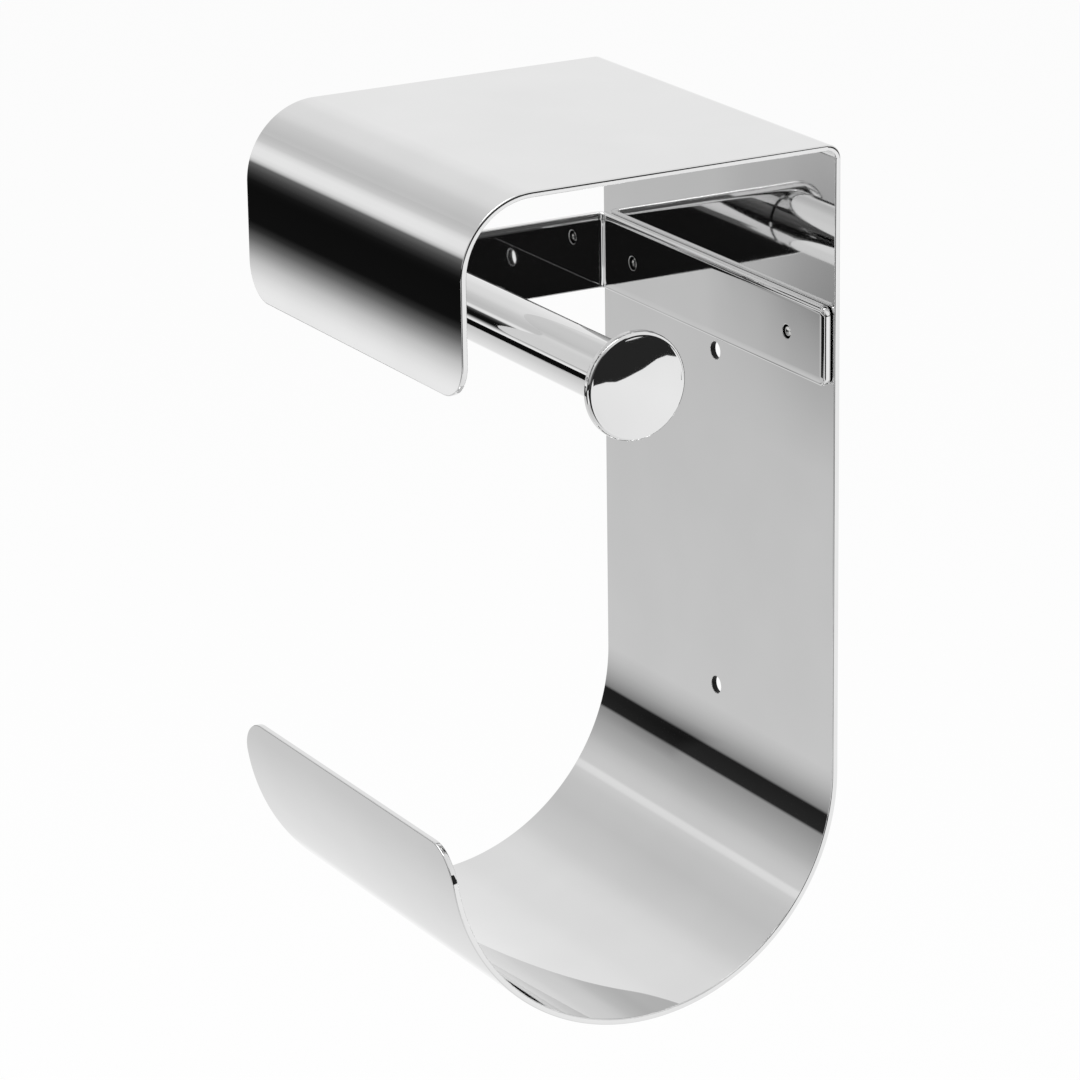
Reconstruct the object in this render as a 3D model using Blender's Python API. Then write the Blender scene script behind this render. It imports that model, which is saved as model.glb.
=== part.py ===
"""Double toilet roll holder: a bent steel strip that carries a roll spindle, in metres, +Z up.

The origin lies on the wall plane, midway between the two wall holes, and +Y points into the wall.
"""
from math import cos, pi, radians, sin, sqrt

import bmesh
import bpy
from mathutils import Matrix, Vector

# Steel strip, with bend radii taken on its outer face
SHEET_WIDTH = 0.115
SHEET_THICKNESS = 0.0016
SHEET_CORNER_RADIUS = 0.010
SHEET_EDGE_RADIUS = 0.0003
HOOD_DEPTH = 0.108
HOOD_LIP_DROP = 0.0505
HOOD_BEND_RADIUS = 0.020
BACK_BEND_RADIUS = 0.004
CRADLE_RADIUS = 0.057
CRADLE_LIP_RISE = 0.001

# Wall holes on the centreline of the back plate
WALL_HOLE_DIAMETER = 0.0048
WALL_HOLE_SPACING = 0.093
WALL_HOLE_TO_CRADLE = 0.0061
WALL_HOLE_TO_BRACKET = 0.0044

# Bracket that crosses the back plate and runs forward as the roll arm
BRACKET_THICKNESS = 0.002
BRACKET_HEIGHT = 0.021
BRACKET_INNER_RADIUS = 0.0012
BRACKET_EDGE_RADIUS = 0.0006
BRACKET_CORNER_RADIUS = 0.0025
BRACKET_SIDE_INSET = 0.001

# Countersunk screws that hold the bracket's flange
FLANGE_SCREW_DIAMETER = 0.004
FLANGE_SCREW_HEAD = 0.0068
FLANGE_SCREW_TO_END = 0.018
FLANGE_SCREW_KEY = 0.0025
FLANGE_SCREW_KEY_DEPTH = 0.0009

# Spindle, its tapped inserts and the screw through the arm
SPINDLE_DIAMETER = 0.016
SPINDLE_WALL = 0.0012
SPINDLE_REACH = 0.0608
SPINDLE_TO_HOOD_TOP = 0.0527
INSERT_LENGTH = 0.012
SPINDLE_SCREW_DIAMETER = 0.004
SPINDLE_SCREW_HEAD = 0.0073
SPINDLE_SCREW_LENGTH = 0.0135
SPINDLE_SCREW_KEY = 0.0025
SPINDLE_SCREW_KEY_DEPTH = 0.0013

# Knob on the free end of the spindle
KNOB_DIAMETER = 0.028
KNOB_RIM_THICKNESS = 0.0028
KNOB_EDGE_RADIUS = 0.001
KNOB_DOME_RISE = 0.001
KNOB_SPIGOT_LENGTH = 0.006
KNOB_BORE_END_WALL = 0.0015
KNOB_STUD_LENGTH = 0.013
KNOB_STUD_KEY = 0.002
KNOB_STUD_KEY_DEPTH = 0.002

# Small sizes shared by several pieces
FIT_GAP = 0.0003
HEAD_RIM = 0.0002
HEAD_RECESS = 0.0001
SCREW_END_RECESS = 0.0004
TURNED_CHAMFER = 0.0004
CUT_OVERRUN = 0.002

# Facets of round forms, and the tolerance of cuts and merges
CORNER_STEPS = 7
FILLET_STEPS = 3
DOME_STEPS = 6
LARGE_SEGMENTS = 56
SMALL_SEGMENTS = 28
HEXAGON_SIDES = 6
FACET_LENGTH = 0.0038
SMALLEST_BEND_STEPS = 8
MERGE_DISTANCE = 0.000001
SHARP_ANGLE = radians(32)

# Places worked out from the sizes above
UPPER_HOLE_Z = WALL_HOLE_SPACING / 2
SPINDLE_Z = UPPER_HOLE_Z + WALL_HOLE_TO_BRACKET + BRACKET_HEIGHT / 2
HOOD_TOP_Z = SPINDLE_Z + SPINDLE_TO_HOOD_TOP
CRADLE_AXIS_Z = -UPPER_HOLE_Z - WALL_HOLE_TO_CRADLE
ARM_OUTER_X = -SHEET_WIDTH / 2 + BRACKET_SIDE_INSET
KNOB_BACK_X = SHEET_WIDTH / 2
KNOB_BACK_Z = KNOB_BACK_X - ARM_OUTER_X
FLANGE_SCREW_X = SHEET_WIDTH / 2 - BRACKET_SIDE_INSET - FLANGE_SCREW_TO_END
FLANGE_BACK_Y = -SHEET_THICKNESS - FIT_GAP
FLANGE_STACK = SHEET_THICKNESS + FIT_GAP + BRACKET_THICKNESS
SPINDLE_BORE = SPINDLE_DIAMETER - 2 * SPINDLE_WALL
INSERT_DIAMETER = SPINDLE_BORE - 2 * FIT_GAP


def clear_scene():
    for item in list(bpy.data.objects):
        bpy.data.objects.remove(item, do_unlink=True)


def steel(name, colour, roughness, metallic=1.0):
    material = bpy.data.materials.new(name)
    material.use_nodes = True
    shader = material.node_tree.nodes["Principled BSDF"]
    shader.inputs["Base Color"].default_value = (*colour, 1.0)
    shader.inputs["Roughness"].default_value = roughness
    shader.inputs["Metallic"].default_value = metallic
    return material


def polished_sheet_steel():
    return steel("polished_sheet_steel", (0.82, 0.82, 0.81), 0.05)


def polished_plate_steel():
    return steel("polished_plate_steel", (0.80, 0.80, 0.80), 0.06)


def polished_tube_steel():
    return steel("polished_tube_steel", (0.81, 0.81, 0.81), 0.05)


def polished_knob_steel():
    return steel("polished_knob_steel", (0.82, 0.82, 0.82), 0.04)


def screw_steel(name):
    return steel(name, (0.62, 0.62, 0.61), 0.28)


def insert_brass(name):
    return steel(name, (0.72, 0.56, 0.30), 0.35)


def object_from(mesh, name, material=None):
    """Finish a bmesh as a smooth shaded object with outward faces."""
    bmesh.ops.remove_doubles(mesh, verts=mesh.verts[:], dist=MERGE_DISTANCE)
    bmesh.ops.recalc_face_normals(mesh, faces=mesh.faces[:])
    data = bpy.data.meshes.new(name)
    mesh.to_mesh(data)
    mesh.free()
    data.shade_smooth()
    data.set_sharp_from_angle(angle=SHARP_ANGLE)
    if material:
        data.materials.append(material)
    item = bpy.data.objects.new(name, data)
    bpy.context.scene.collection.objects.link(item)
    return item


def cut(item, cutter):
    """Take the cutter out of the item, and leave the cutter as a guide."""
    cutter.hide_render = True
    cutter.display_type = "WIRE"
    modifier = item.modifiers.new(cutter.name, "BOOLEAN")
    modifier.operation = "DIFFERENCE"
    modifier.solver = "EXACT"
    modifier.object = cutter


def blank_outline(width, length, start_radius, end_radius):
    """Outline of a flat strip along +Y, with round corners at both of its ends."""
    corners = [
        (width / 2 - start_radius, start_radius, start_radius, -pi / 2),
        (width / 2 - end_radius, length - end_radius, end_radius, 0),
        (-width / 2 + end_radius, length - end_radius, end_radius, pi / 2),
        (-width / 2 + start_radius, start_radius, start_radius, pi),
    ]
    points = []
    for across, along, radius, first_angle in corners:
        for step in range(CORNER_STEPS + 1):
            angle = first_angle + pi / 2 * step / CORNER_STEPS
            points.append((across + radius * cos(angle), along + radius * sin(angle)))
    return points


def flat_blank(outline, thickness, edge_radius, edge_steps):
    """Closed flat blank on Z = 0 with rounded rims, as it leaves the cutting table."""
    mesh = bmesh.new()
    rim = [mesh.verts.new((across, along, 0)) for across, along in outline]
    mesh.faces.new(rim)
    bmesh.ops.remove_doubles(mesh, verts=mesh.verts[:], dist=MERGE_DISTANCE)
    raised = bmesh.ops.extrude_face_region(mesh, geom=mesh.faces[:], use_keep_orig=True)
    lifted = [part for part in raised["geom"] if isinstance(part, bmesh.types.BMVert)]
    bmesh.ops.translate(mesh, verts=lifted, vec=(0, 0, thickness))
    rims = [edge for edge in mesh.edges if edge.verts[0].co.z == edge.verts[1].co.z]
    bmesh.ops.bevel(mesh, geom=rims, offset=edge_radius, segments=edge_steps, profile=0.5,
                    affect="EDGES", clamp_overlap=True)
    return mesh


def bend_cuts(route, outline):
    """Distances at which a blank is cut across, so that it can follow the bends of its route."""
    length = sum(run for run, radius in route)
    side = outline[:2 * CORNER_STEPS + 2]
    start_corner = max(along for across, along in side[:CORNER_STEPS + 1])
    end_corner = min(along for across, along in side[CORNER_STEPS + 1:])
    cuts = []
    begin = 0
    for run, radius in route:
        if radius:
            steps = max(SMALLEST_BEND_STEPS, round(run / FACET_LENGTH))
            even = [begin + run * step / steps for step in range(steps + 1)]
            cuts += [along for along in even if start_corner <= along <= end_corner or along == begin]
            cuts += [along for across, along in side if begin < along < begin + run]
        begin += run
    return [along for along in cuts if 0 < along < length]


def point_on_route(route, start, distance, inward):
    """Point at a distance along a route of right-hand bends, moved inward by an offset."""
    point = Vector(start)
    turned_by = 0
    for run, radius in route:
        step = min(distance, run)
        heading = Vector((sin(turned_by), cos(turned_by)))
        right = Vector((cos(turned_by), -sin(turned_by)))
        if radius:
            turn = step / radius
            point += radius * (heading * sin(turn) + right * (1 - cos(turn)))
            turned_by += turn
        else:
            point += step * heading
        distance -= step
        if distance <= 0:
            break
    return point + inward * Vector((cos(turned_by), -sin(turned_by)))


def bend_blank(mesh, route, start, cuts, place):
    """Cut a flat blank across at each distance and wrap it along its route."""
    for distance in cuts:
        geometry = mesh.verts[:] + mesh.edges[:] + mesh.faces[:]
        bmesh.ops.bisect_plane(mesh, geom=geometry, dist=MERGE_DISTANCE,
                               plane_co=(0, distance, 0), plane_no=(0, 1, 0))
    for vertex in mesh.verts:
        across, along, inward = vertex.co
        vertex.co = place(across, point_on_route(route, start, along, inward))


def turned(name, profile, segments, material=None, ring=False):
    """Turn a profile of (radius, height) points about Z; a ring's profile closes on itself."""
    mesh = bmesh.new()
    points = [mesh.verts.new((radius, 0, height)) for radius, height in profile]
    edges = [mesh.edges.new(pair) for pair in zip(points, points[1:])]
    if ring:
        edges.append(mesh.edges.new((points[-1], points[0])))
    bmesh.ops.spin(mesh, geom=points + edges, cent=(0, 0, 0), axis=(0, 0, 1), dvec=(0, 0, 0),
                   angle=2 * pi, steps=segments, use_merge=True, use_duplicate=False)
    return object_from(mesh, name, material)


def hexagon_cutter(name, across_flats, depth):
    """Hexagon prism from above Z = 0 down to a depth along +Z."""
    mesh = bmesh.new()
    radius = across_flats / sqrt(3)
    bmesh.ops.create_cone(mesh, cap_ends=True, segments=HEXAGON_SIDES, radius1=radius, radius2=radius,
                          depth=depth + CUT_OVERRUN)
    bmesh.ops.translate(mesh, verts=mesh.verts[:], vec=(0, 0, (depth - CUT_OVERRUN) / 2))
    return object_from(mesh, name)


def countersunk_profile(head, shank, length):
    """Countersunk screw from the flat of its head at height zero to its chamfered end."""
    cone_end = HEAD_RIM + (head - shank) / 2
    return [
        (0, 0),
        (head / 2, 0),
        (head / 2, HEAD_RIM),
        (shank / 2, cone_end),
        (shank / 2, length - TURNED_CHAMFER),
        (shank / 2 - TURNED_CHAMFER, length),
        (0, length),
    ]


def countersunk_clearance(head, shank, length):
    """Space that a countersunk screw passes through, open at both ends."""
    cone_end = HEAD_RIM + (head - shank) / 2
    return [
        (0, -CUT_OVERRUN),
        (head / 2 + FIT_GAP, -CUT_OVERRUN),
        (head / 2 + FIT_GAP, HEAD_RIM),
        (shank / 2 + FIT_GAP, cone_end),
        (shank / 2 + FIT_GAP, length + CUT_OVERRUN),
        (0, length + CUT_OVERRUN),
    ]


def add_shell():
    """Hood, back plate and cradle, bent from one strip that starts at the hood's lip."""
    route = [
        (HOOD_LIP_DROP - HOOD_BEND_RADIUS, None),
        (HOOD_BEND_RADIUS * pi / 2, HOOD_BEND_RADIUS),
        (HOOD_DEPTH - HOOD_BEND_RADIUS - BACK_BEND_RADIUS, None),
        (BACK_BEND_RADIUS * pi / 2, BACK_BEND_RADIUS),
        (HOOD_TOP_Z - BACK_BEND_RADIUS - CRADLE_AXIS_Z, None),
        (CRADLE_RADIUS * pi, CRADLE_RADIUS),
        (CRADLE_LIP_RISE, None),
    ]
    length = sum(run for run, radius in route)
    outline = blank_outline(SHEET_WIDTH, length, SHEET_CORNER_RADIUS, SHEET_CORNER_RADIUS)
    mesh = flat_blank(outline, SHEET_THICKNESS, SHEET_EDGE_RADIUS, 1)
    start = (-HOOD_DEPTH, HOOD_TOP_Z - HOOD_LIP_DROP)
    bend_blank(mesh, route, start, bend_cuts(route, outline),
               lambda across, point: (across, point.x, point.y))
    return object_from(mesh, "shell", polished_sheet_steel())


def cut_wall_holes(shell):
    for name, side in (("upper_wall_hole_cutter", 1), ("lower_wall_hole_cutter", -1)):
        mesh = bmesh.new()
        bmesh.ops.create_cone(mesh, cap_ends=True, segments=SMALL_SEGMENTS,
                              radius1=WALL_HOLE_DIAMETER / 2, radius2=WALL_HOLE_DIAMETER / 2,
                              depth=SHEET_THICKNESS + 2 * CUT_OVERRUN)
        cutter = object_from(mesh, name)
        cutter.location = (0, -SHEET_THICKNESS / 2, side * UPPER_HOLE_Z)
        cutter.rotation_euler = (pi / 2, 0, 0)
        cut(shell, cutter)


def add_bracket():
    """Roll arm and flange, bent from one bar that starts at the arm's round free end."""
    outer_radius = BRACKET_INNER_RADIUS + BRACKET_THICKNESS
    arm_tip = SPINDLE_REACH + BRACKET_HEIGHT / 2
    flange_length = SHEET_WIDTH - 2 * BRACKET_SIDE_INSET
    route = [
        (arm_tip + FLANGE_BACK_Y - outer_radius, None),
        (outer_radius * pi / 2, outer_radius),
        (flange_length - outer_radius, None),
    ]
    length = sum(run for run, radius in route)
    outline = blank_outline(BRACKET_HEIGHT, length, BRACKET_HEIGHT / 2, BRACKET_CORNER_RADIUS)
    mesh = flat_blank(outline, BRACKET_THICKNESS, BRACKET_EDGE_RADIUS, FILLET_STEPS)
    bend_blank(mesh, route, (ARM_OUTER_X, -arm_tip), bend_cuts(route, outline),
               lambda across, point: (point.x, point.y, SPINDLE_Z + across))
    return object_from(mesh, "roll_arm_bracket", polished_plate_steel())


def add_flange_screws(shell, bracket):
    length = FLANGE_STACK - SCREW_END_RECESS - HEAD_RECESS
    for side, direction in (("left", -1), ("right", 1)):
        place = (direction * FLANGE_SCREW_X, -HEAD_RECESS, SPINDLE_Z)
        name = f"flange_screw_{side}"
        profile = countersunk_profile(FLANGE_SCREW_HEAD, FLANGE_SCREW_DIAMETER, length)
        screw = turned(name, profile, SMALL_SEGMENTS, screw_steel(f"{name}_steel"))
        space = countersunk_clearance(FLANGE_SCREW_HEAD, FLANGE_SCREW_DIAMETER, length)
        cutter = turned(f"{name}_cutter", space, SMALL_SEGMENTS)
        socket = hexagon_cutter(f"{name}_socket_cutter", FLANGE_SCREW_KEY, FLANGE_SCREW_KEY_DEPTH)
        for item in (screw, cutter, socket):
            item.location = place
            item.rotation_euler = (pi / 2, 0, 0)
        cut(screw, socket)
        cut(shell, cutter)
        cut(bracket, cutter)


def add_spindle_axis():
    """Empty on the arm's outer face whose Z runs along the spindle to the knob."""
    axis = bpy.data.objects.new("spindle_axis", None)
    axis.location = (ARM_OUTER_X, -SPINDLE_REACH, SPINDLE_Z)
    axis.rotation_euler = (0, pi / 2, 0)
    bpy.context.scene.collection.objects.link(axis)
    return axis


def mount_on(axis, item, height):
    item.parent = axis
    item.location = (0, 0, height)


def add_spindle_tube(axis):
    outer = SPINDLE_DIAMETER / 2
    inner = SPINDLE_BORE / 2
    start = BRACKET_THICKNESS + FIT_GAP
    length = KNOB_BACK_Z - FIT_GAP - start
    profile = [
        (inner, 0),
        (inner, length),
        (outer - TURNED_CHAMFER, length),
        (outer, length - TURNED_CHAMFER),
        (outer, TURNED_CHAMFER),
        (outer - TURNED_CHAMFER, 0),
    ]
    mount_on(axis, turned("spindle_tube", profile, LARGE_SEGMENTS, polished_tube_steel(), True), start)


def add_insert(axis, name, start):
    """Plug in the tube with a threaded bore, shown at its clearance size."""
    outer = INSERT_DIAMETER / 2
    bore = SPINDLE_SCREW_DIAMETER / 2 + FIT_GAP
    profile = [
        (bore, TURNED_CHAMFER),
        (bore, INSERT_LENGTH - TURNED_CHAMFER),
        (bore + TURNED_CHAMFER, INSERT_LENGTH),
        (outer - TURNED_CHAMFER, INSERT_LENGTH),
        (outer, INSERT_LENGTH - TURNED_CHAMFER),
        (outer, TURNED_CHAMFER),
        (outer - TURNED_CHAMFER, 0),
        (bore + TURNED_CHAMFER, 0),
    ]
    mount_on(axis, turned(name, profile, SMALL_SEGMENTS, insert_brass(f"{name}_brass"), True), start)


def add_spindle_screw(axis, bracket):
    profile = countersunk_profile(SPINDLE_SCREW_HEAD, SPINDLE_SCREW_DIAMETER, SPINDLE_SCREW_LENGTH)
    screw = turned("spindle_screw", profile, SMALL_SEGMENTS, screw_steel("spindle_screw_steel"))
    space = countersunk_clearance(SPINDLE_SCREW_HEAD, SPINDLE_SCREW_DIAMETER, BRACKET_THICKNESS)
    cutter = turned("spindle_screw_cutter", space, SMALL_SEGMENTS)
    socket = hexagon_cutter("spindle_screw_socket_cutter", SPINDLE_SCREW_KEY, SPINDLE_SCREW_KEY_DEPTH)
    for item in (screw, cutter, socket):
        mount_on(axis, item, HEAD_RECESS)
    cut(screw, socket)
    cut(bracket, cutter)


def dome_points(radius, base, rise):
    """Points of a shallow dome from its centre out to its rim."""
    sphere = (radius ** 2 + rise ** 2) / (2 * rise)
    points = []
    for step in range(DOME_STEPS + 1):
        out = radius * step / DOME_STEPS
        points.append((out, base + rise - sphere + sqrt(sphere ** 2 - out ** 2)))
    return points


def rim_points(radius, low, high, fillet):
    """Points down a rounded rim, between the ends of its two fillets."""
    points = []
    for centre, first_angle in ((high - fillet, pi / 2), (low + fillet, 0)):
        for step in range(FILLET_STEPS + 1):
            angle = first_angle - pi / 2 * step / FILLET_STEPS
            points.append((radius - fillet + fillet * cos(angle), centre + fillet * sin(angle)))
    return points


def add_knob(axis):
    """Domed disc with a spigot that fills the tube's mouth and is bored for the stud."""
    radius = KNOB_DIAMETER / 2
    spigot = INSERT_DIAMETER / 2
    bore = SPINDLE_SCREW_DIAMETER / 2 + FIT_GAP
    bore_end = KNOB_RIM_THICKNESS + KNOB_DOME_RISE - KNOB_BORE_END_WALL
    rim = rim_points(radius, 0, KNOB_RIM_THICKNESS, KNOB_EDGE_RADIUS)
    profile = dome_points(radius - KNOB_EDGE_RADIUS, KNOB_RIM_THICKNESS, KNOB_DOME_RISE)
    profile += rim[1:]
    profile += [
        (spigot, 0),
        (spigot, -KNOB_SPIGOT_LENGTH + TURNED_CHAMFER),
        (spigot - TURNED_CHAMFER, -KNOB_SPIGOT_LENGTH),
        (bore, -KNOB_SPIGOT_LENGTH),
        (bore, bore_end),
        (0, bore_end),
    ]
    mount_on(axis, turned("knob", profile, LARGE_SEGMENTS, polished_knob_steel()), KNOB_BACK_Z)


def add_knob_stud(axis):
    """Threaded stud from the end of the knob's bore back into its insert."""
    radius = SPINDLE_SCREW_DIAMETER / 2
    bore_end = KNOB_RIM_THICKNESS + KNOB_DOME_RISE - KNOB_BORE_END_WALL
    profile = [
        (0, 0),
        (radius - TURNED_CHAMFER, 0),
        (radius, TURNED_CHAMFER),
        (radius, KNOB_STUD_LENGTH - TURNED_CHAMFER),
        (radius - TURNED_CHAMFER, KNOB_STUD_LENGTH),
        (0, KNOB_STUD_LENGTH),
    ]
    stud = turned("knob_stud", profile, SMALL_SEGMENTS, screw_steel("knob_stud_steel"))
    socket = hexagon_cutter("knob_stud_socket_cutter", KNOB_STUD_KEY, KNOB_STUD_KEY_DEPTH)
    start = KNOB_BACK_Z + bore_end - FIT_GAP - KNOB_STUD_LENGTH
    for item in (stud, socket):
        mount_on(axis, item, start)
    cut(stud, socket)


def build():
    clear_scene()
    shell = add_shell()
    cut_wall_holes(shell)
    bracket = add_bracket()
    add_flange_screws(shell, bracket)
    axis = add_spindle_axis()
    add_spindle_tube(axis)
    add_insert(axis, "arm_end_insert", BRACKET_THICKNESS + FIT_GAP)
    add_spindle_screw(axis, bracket)
    add_insert(axis, "knob_end_insert", KNOB_BACK_Z - KNOB_SPIGOT_LENGTH - FIT_GAP - INSERT_LENGTH)
    add_knob(axis)
    add_knob_stud(axis)


build()
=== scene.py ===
"""Looks of the double toilet roll holder: mirror polished steel in a pale studio, metres, +Z up."""

from math import cos, pi, radians, sin, sqrt

import bmesh
import bpy
from mathutils import Matrix, Vector


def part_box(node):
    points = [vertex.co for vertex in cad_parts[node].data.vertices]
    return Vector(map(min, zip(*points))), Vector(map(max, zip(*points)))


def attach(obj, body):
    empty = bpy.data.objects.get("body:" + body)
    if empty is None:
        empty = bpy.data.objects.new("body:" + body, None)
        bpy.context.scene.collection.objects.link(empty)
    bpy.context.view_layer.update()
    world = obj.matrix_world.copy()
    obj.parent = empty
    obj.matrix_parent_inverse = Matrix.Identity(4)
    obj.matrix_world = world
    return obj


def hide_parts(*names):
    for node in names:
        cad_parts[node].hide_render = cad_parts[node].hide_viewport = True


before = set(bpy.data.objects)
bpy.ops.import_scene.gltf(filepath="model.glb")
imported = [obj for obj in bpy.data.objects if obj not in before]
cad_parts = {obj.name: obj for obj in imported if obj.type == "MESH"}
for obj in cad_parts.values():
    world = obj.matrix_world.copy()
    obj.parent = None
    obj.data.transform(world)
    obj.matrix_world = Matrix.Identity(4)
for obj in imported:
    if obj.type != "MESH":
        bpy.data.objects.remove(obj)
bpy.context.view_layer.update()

# Sizes that the frame's boxes give
shell_low, shell_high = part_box("shell")
arm_low, arm_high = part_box("roll_arm_bracket")
tube_low, tube_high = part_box("spindle_tube")
knob_low, knob_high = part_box("knob")
screw_low, screw_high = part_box("flange_screw_right")
spindle_screw_low, spindle_screw_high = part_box("spindle_screw")
SHEET_WIDTH = shell_high.x - shell_low.x
CRADLE_RADIUS = -shell_low.y / 2
CRADLE_AXIS_Z = shell_low.z + CRADLE_RADIUS
BRACKET_HEIGHT = arm_high.z - arm_low.z
SPINDLE_RADIUS = (tube_high.z - tube_low.z) / 2
SPINDLE_Y = (tube_high.y + tube_low.y) / 2
SPINDLE_Z = (tube_high.z + tube_low.z) / 2
KNOB_RADIUS = (knob_high.z - knob_low.z) / 2
FLANGE_SCREW_X = (screw_high.x + screw_low.x) / 2
FLANGE_SCREW_LENGTH = screw_high.y - screw_low.y
FLANGE_HEAD_RADIUS = (screw_high.x - screw_low.x) / 2
SPINDLE_HEAD_RADIUS = (spindle_screw_high.z - spindle_screw_low.z) / 2
SPINDLE_SCREW_LENGTH = spindle_screw_high.x - spindle_screw_low.x

# Sizes of the steel strip, with bend radii on its outer face
SHEET_THICKNESS = 0.0016
SHEET_CORNER_RADIUS = 0.010
SHEET_EDGE_RADIUS = 0.0003
HOOD_DEPTH = 0.108
HOOD_LIP_DROP = 0.0505
HOOD_BEND_RADIUS = 0.020
BACK_BEND_RADIUS = 0.004
CRADLE_LIP_RISE = 0.001
WALL_HOLE_RADIUS = 0.0024
WALL_HOLE_Z = 0.0465
WALL_HOLE_CHAMFER = 0.00015

# Sizes of the bracket
BRACKET_THICKNESS = 0.002
BRACKET_INNER_RADIUS = 0.0012
BRACKET_EDGE_RADIUS = 0.0006
BRACKET_CORNER_RADIUS = 0.0025
BRACKET_CROWN_WIDTH = 0.0018
BRACKET_CROWN_DROP = 0.00024
CROWN_LOW_SHARE = 0.2
TAPPED_HOLE_RADIUS = 0.0019
TAPPED_HOLE_CHAMFER = 0.0002

# Sizes of the screws
FLANGE_SHANK_RADIUS = 0.0018
FLANGE_THREAD_PITCH = 0.0007
FLANGE_THREAD_DEPTH = 0.0003
FLANGE_KEY = 0.0025
FLANGE_KEY_DEPTH = 0.0009
SPINDLE_SHANK_RADIUS = 0.002
SPINDLE_THREAD_PITCH = 0.0007
SPINDLE_THREAD_DEPTH = 0.0004
SPINDLE_KEY = 0.0025
SPINDLE_KEY_DEPTH = 0.0013
HEAD_RIM = 0.0002
HEAD_GAP = 0.0001
END_CHAMFER = 0.0006
END_DIMPLE_RADIUS = 0.0005
END_DIMPLE_DEPTH = 0.0003

# Sizes of the turned pieces
TUBE_WALL = 0.0012
TURNED_CHAMFER = 0.0004
KNOB_RIM_THICKNESS = 0.0028
KNOB_EDGE_RADIUS = 0.001
KNOB_SPIGOT_RADIUS = 0.0065
CUT_OVERRUN = 0.002
CHAMFER_SLOPE = 0.45

# Fineness of round forms
CORNER_STEPS = 24
SHEET_EDGE_STEPS = 3
BRACKET_EDGE_STEPS = 8
CROWN_STEPS = 6
TURNED_SEGMENTS = 160
SCREW_SEGMENTS = 64
HEXAGON_SIDES = 6
THREAD_STEPS = 8
DOME_STEPS = 40
RIM_STEPS = 12
FACET_LENGTH = 0.0008
SMALLEST_BEND_STEPS = 24
MERGE_DISTANCE = 0.000001

# Rotations about X and Y that turn a piece's +Z axis to the front or to the right
TO_FRONT = (pi / 2, 0)
TO_RIGHT = (0, pi / 2)

# Shading, and the tilt of a normal past which a hole cutter's face is a chamfer
SHARP_ANGLE = radians(40)
FACE_WEIGHT = 100
BORE_TILT_LIMIT = 0.1

# Camera, fitted to the photograph
CAMERA_PLACE = Vector((1.09264, -0.66843, 0.42255))
CAMERA_TARGET = Vector((0.05337, -0.08493, 0.02410))
CAMERA_ROLL = radians(-0.823)
CAMERA_LENS = 169.9

# Finishes: colour and roughness, and the size and height of the slow waves left by polishing
POLISHED_COLOUR = (0.80, 0.80, 0.80)
SCREW_COLOUR = (0.78, 0.78, 0.77)
BRASS_COLOUR = (0.72, 0.56, 0.30)
# Near-black colour of the holes' bores: painted shade inside the holes
BORE_PAINTED_SHADE_COLOUR = (0.02, 0.02, 0.02)
# Hole chamfers: a rougher cut finish, with a colour lighter than the polished steel's, a painted highlight
RIM_PAINTED_HIGHLIGHT_COLOUR = (0.90, 0.90, 0.90)
POLISHED_ROUGHNESS = 0.03
SCREW_ROUGHNESS = 0.12
BRASS_ROUGHNESS = 0.30
DRILLED_ROUGHNESS = 0.35
CUT_ROUGHNESS = 0.30
SHEET_WAVE_SIZE = 0.035
SHEET_WAVE_HEIGHT = 0.00006
PLATE_WAVE_SIZE = 0.012
PLATE_WAVE_HEIGHT = 0.00001
TURNED_WAVE_HEIGHT = 0.000004
CLOUD_SIZE = 0.03
CLOUD_CONTRAST = 0.04
GLOSS_CONTRAST = 0.4
TURNING_LINE_SIZE = 0.00015
TURNING_CONTRAST = 0.12
TURNING_DISTORTION = 2
NOISE_DETAIL = 2

# Blender's wave texture: its lines per metre at scale 1
WAVE_LINES_PER_METRE = 20 / (2 * pi)

# Blender's mix node: the sockets that carry colours
MIX_COLOUR_INPUTS = (6, 7)
MIX_COLOUR_OUTPUT = 2

# Brightness that the steel mirrors, by angle about the X axis: 0 is the room, 90 above, 180 the wall
STUDIO_TONES = (
    (-180, 0.94), (-150, 0.99), (-125, 0.95), (-115, 0.87), (-90, 0.85), (-68, 0.80), (-47, 0.71),
    (-36, 0.69), (-29, 0.62), (-24, 0.54), (-15, 0.34), (-12.3, 0.26), (-11.9, 0.016), (-1.4, 0.024),
    (-0.8, 0.33), (4, 0.38), (15, 0.52), (20, 0.62), (26, 0.69), (31, 0.71), (32, 0.86), (35, 0.86),
    (36, 0.73), (43, 0.66), (57, 0.63), (78, 0.72), (88, 0.81), (98, 0.85), (120, 0.86), (132, 0.90),
    (180, 0.94),
)
WHITE = (1, 1, 1, 1)
ROOM_FILL = (0.85, 0.85, 0.85, 1)

# Graded card before the hood: its (across, height) corners and its brightness by height. Its lower right
# corner is cut away, so that the bracket's bend sees the light card past it
HOOD_CARD_Y = -0.130
HOOD_CARD_OUTLINE = (
    (-0.130, 0.022), (-0.030, 0.022), (-0.030, 0.046), (0.030, 0.046), (0.030, 0.138), (-0.160, 0.138),
)
HOOD_CARD_TONES = (
    (0.022, 0.004), (0.049, 0.004), (0.0495, 1.0), (0.052, 1.0), (0.054, 0.96), (0.0565, 0.86),
    (0.060, 0.65), (0.063, 0.38), (0.066, 0.16), (0.069, 0.03), (0.071, 0.006), (0.080, 0.005),
    (0.086, 0.009), (0.091, 0.03), (0.096, 0.075), (0.1005, 0.15), (0.1025, 0.60), (0.105, 0.85),
    (0.109, 0.95), (0.115, 0.95), (0.120, 0.85), (0.124, 0.71), (0.131, 0.64), (0.138, 0.61),
)

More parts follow.
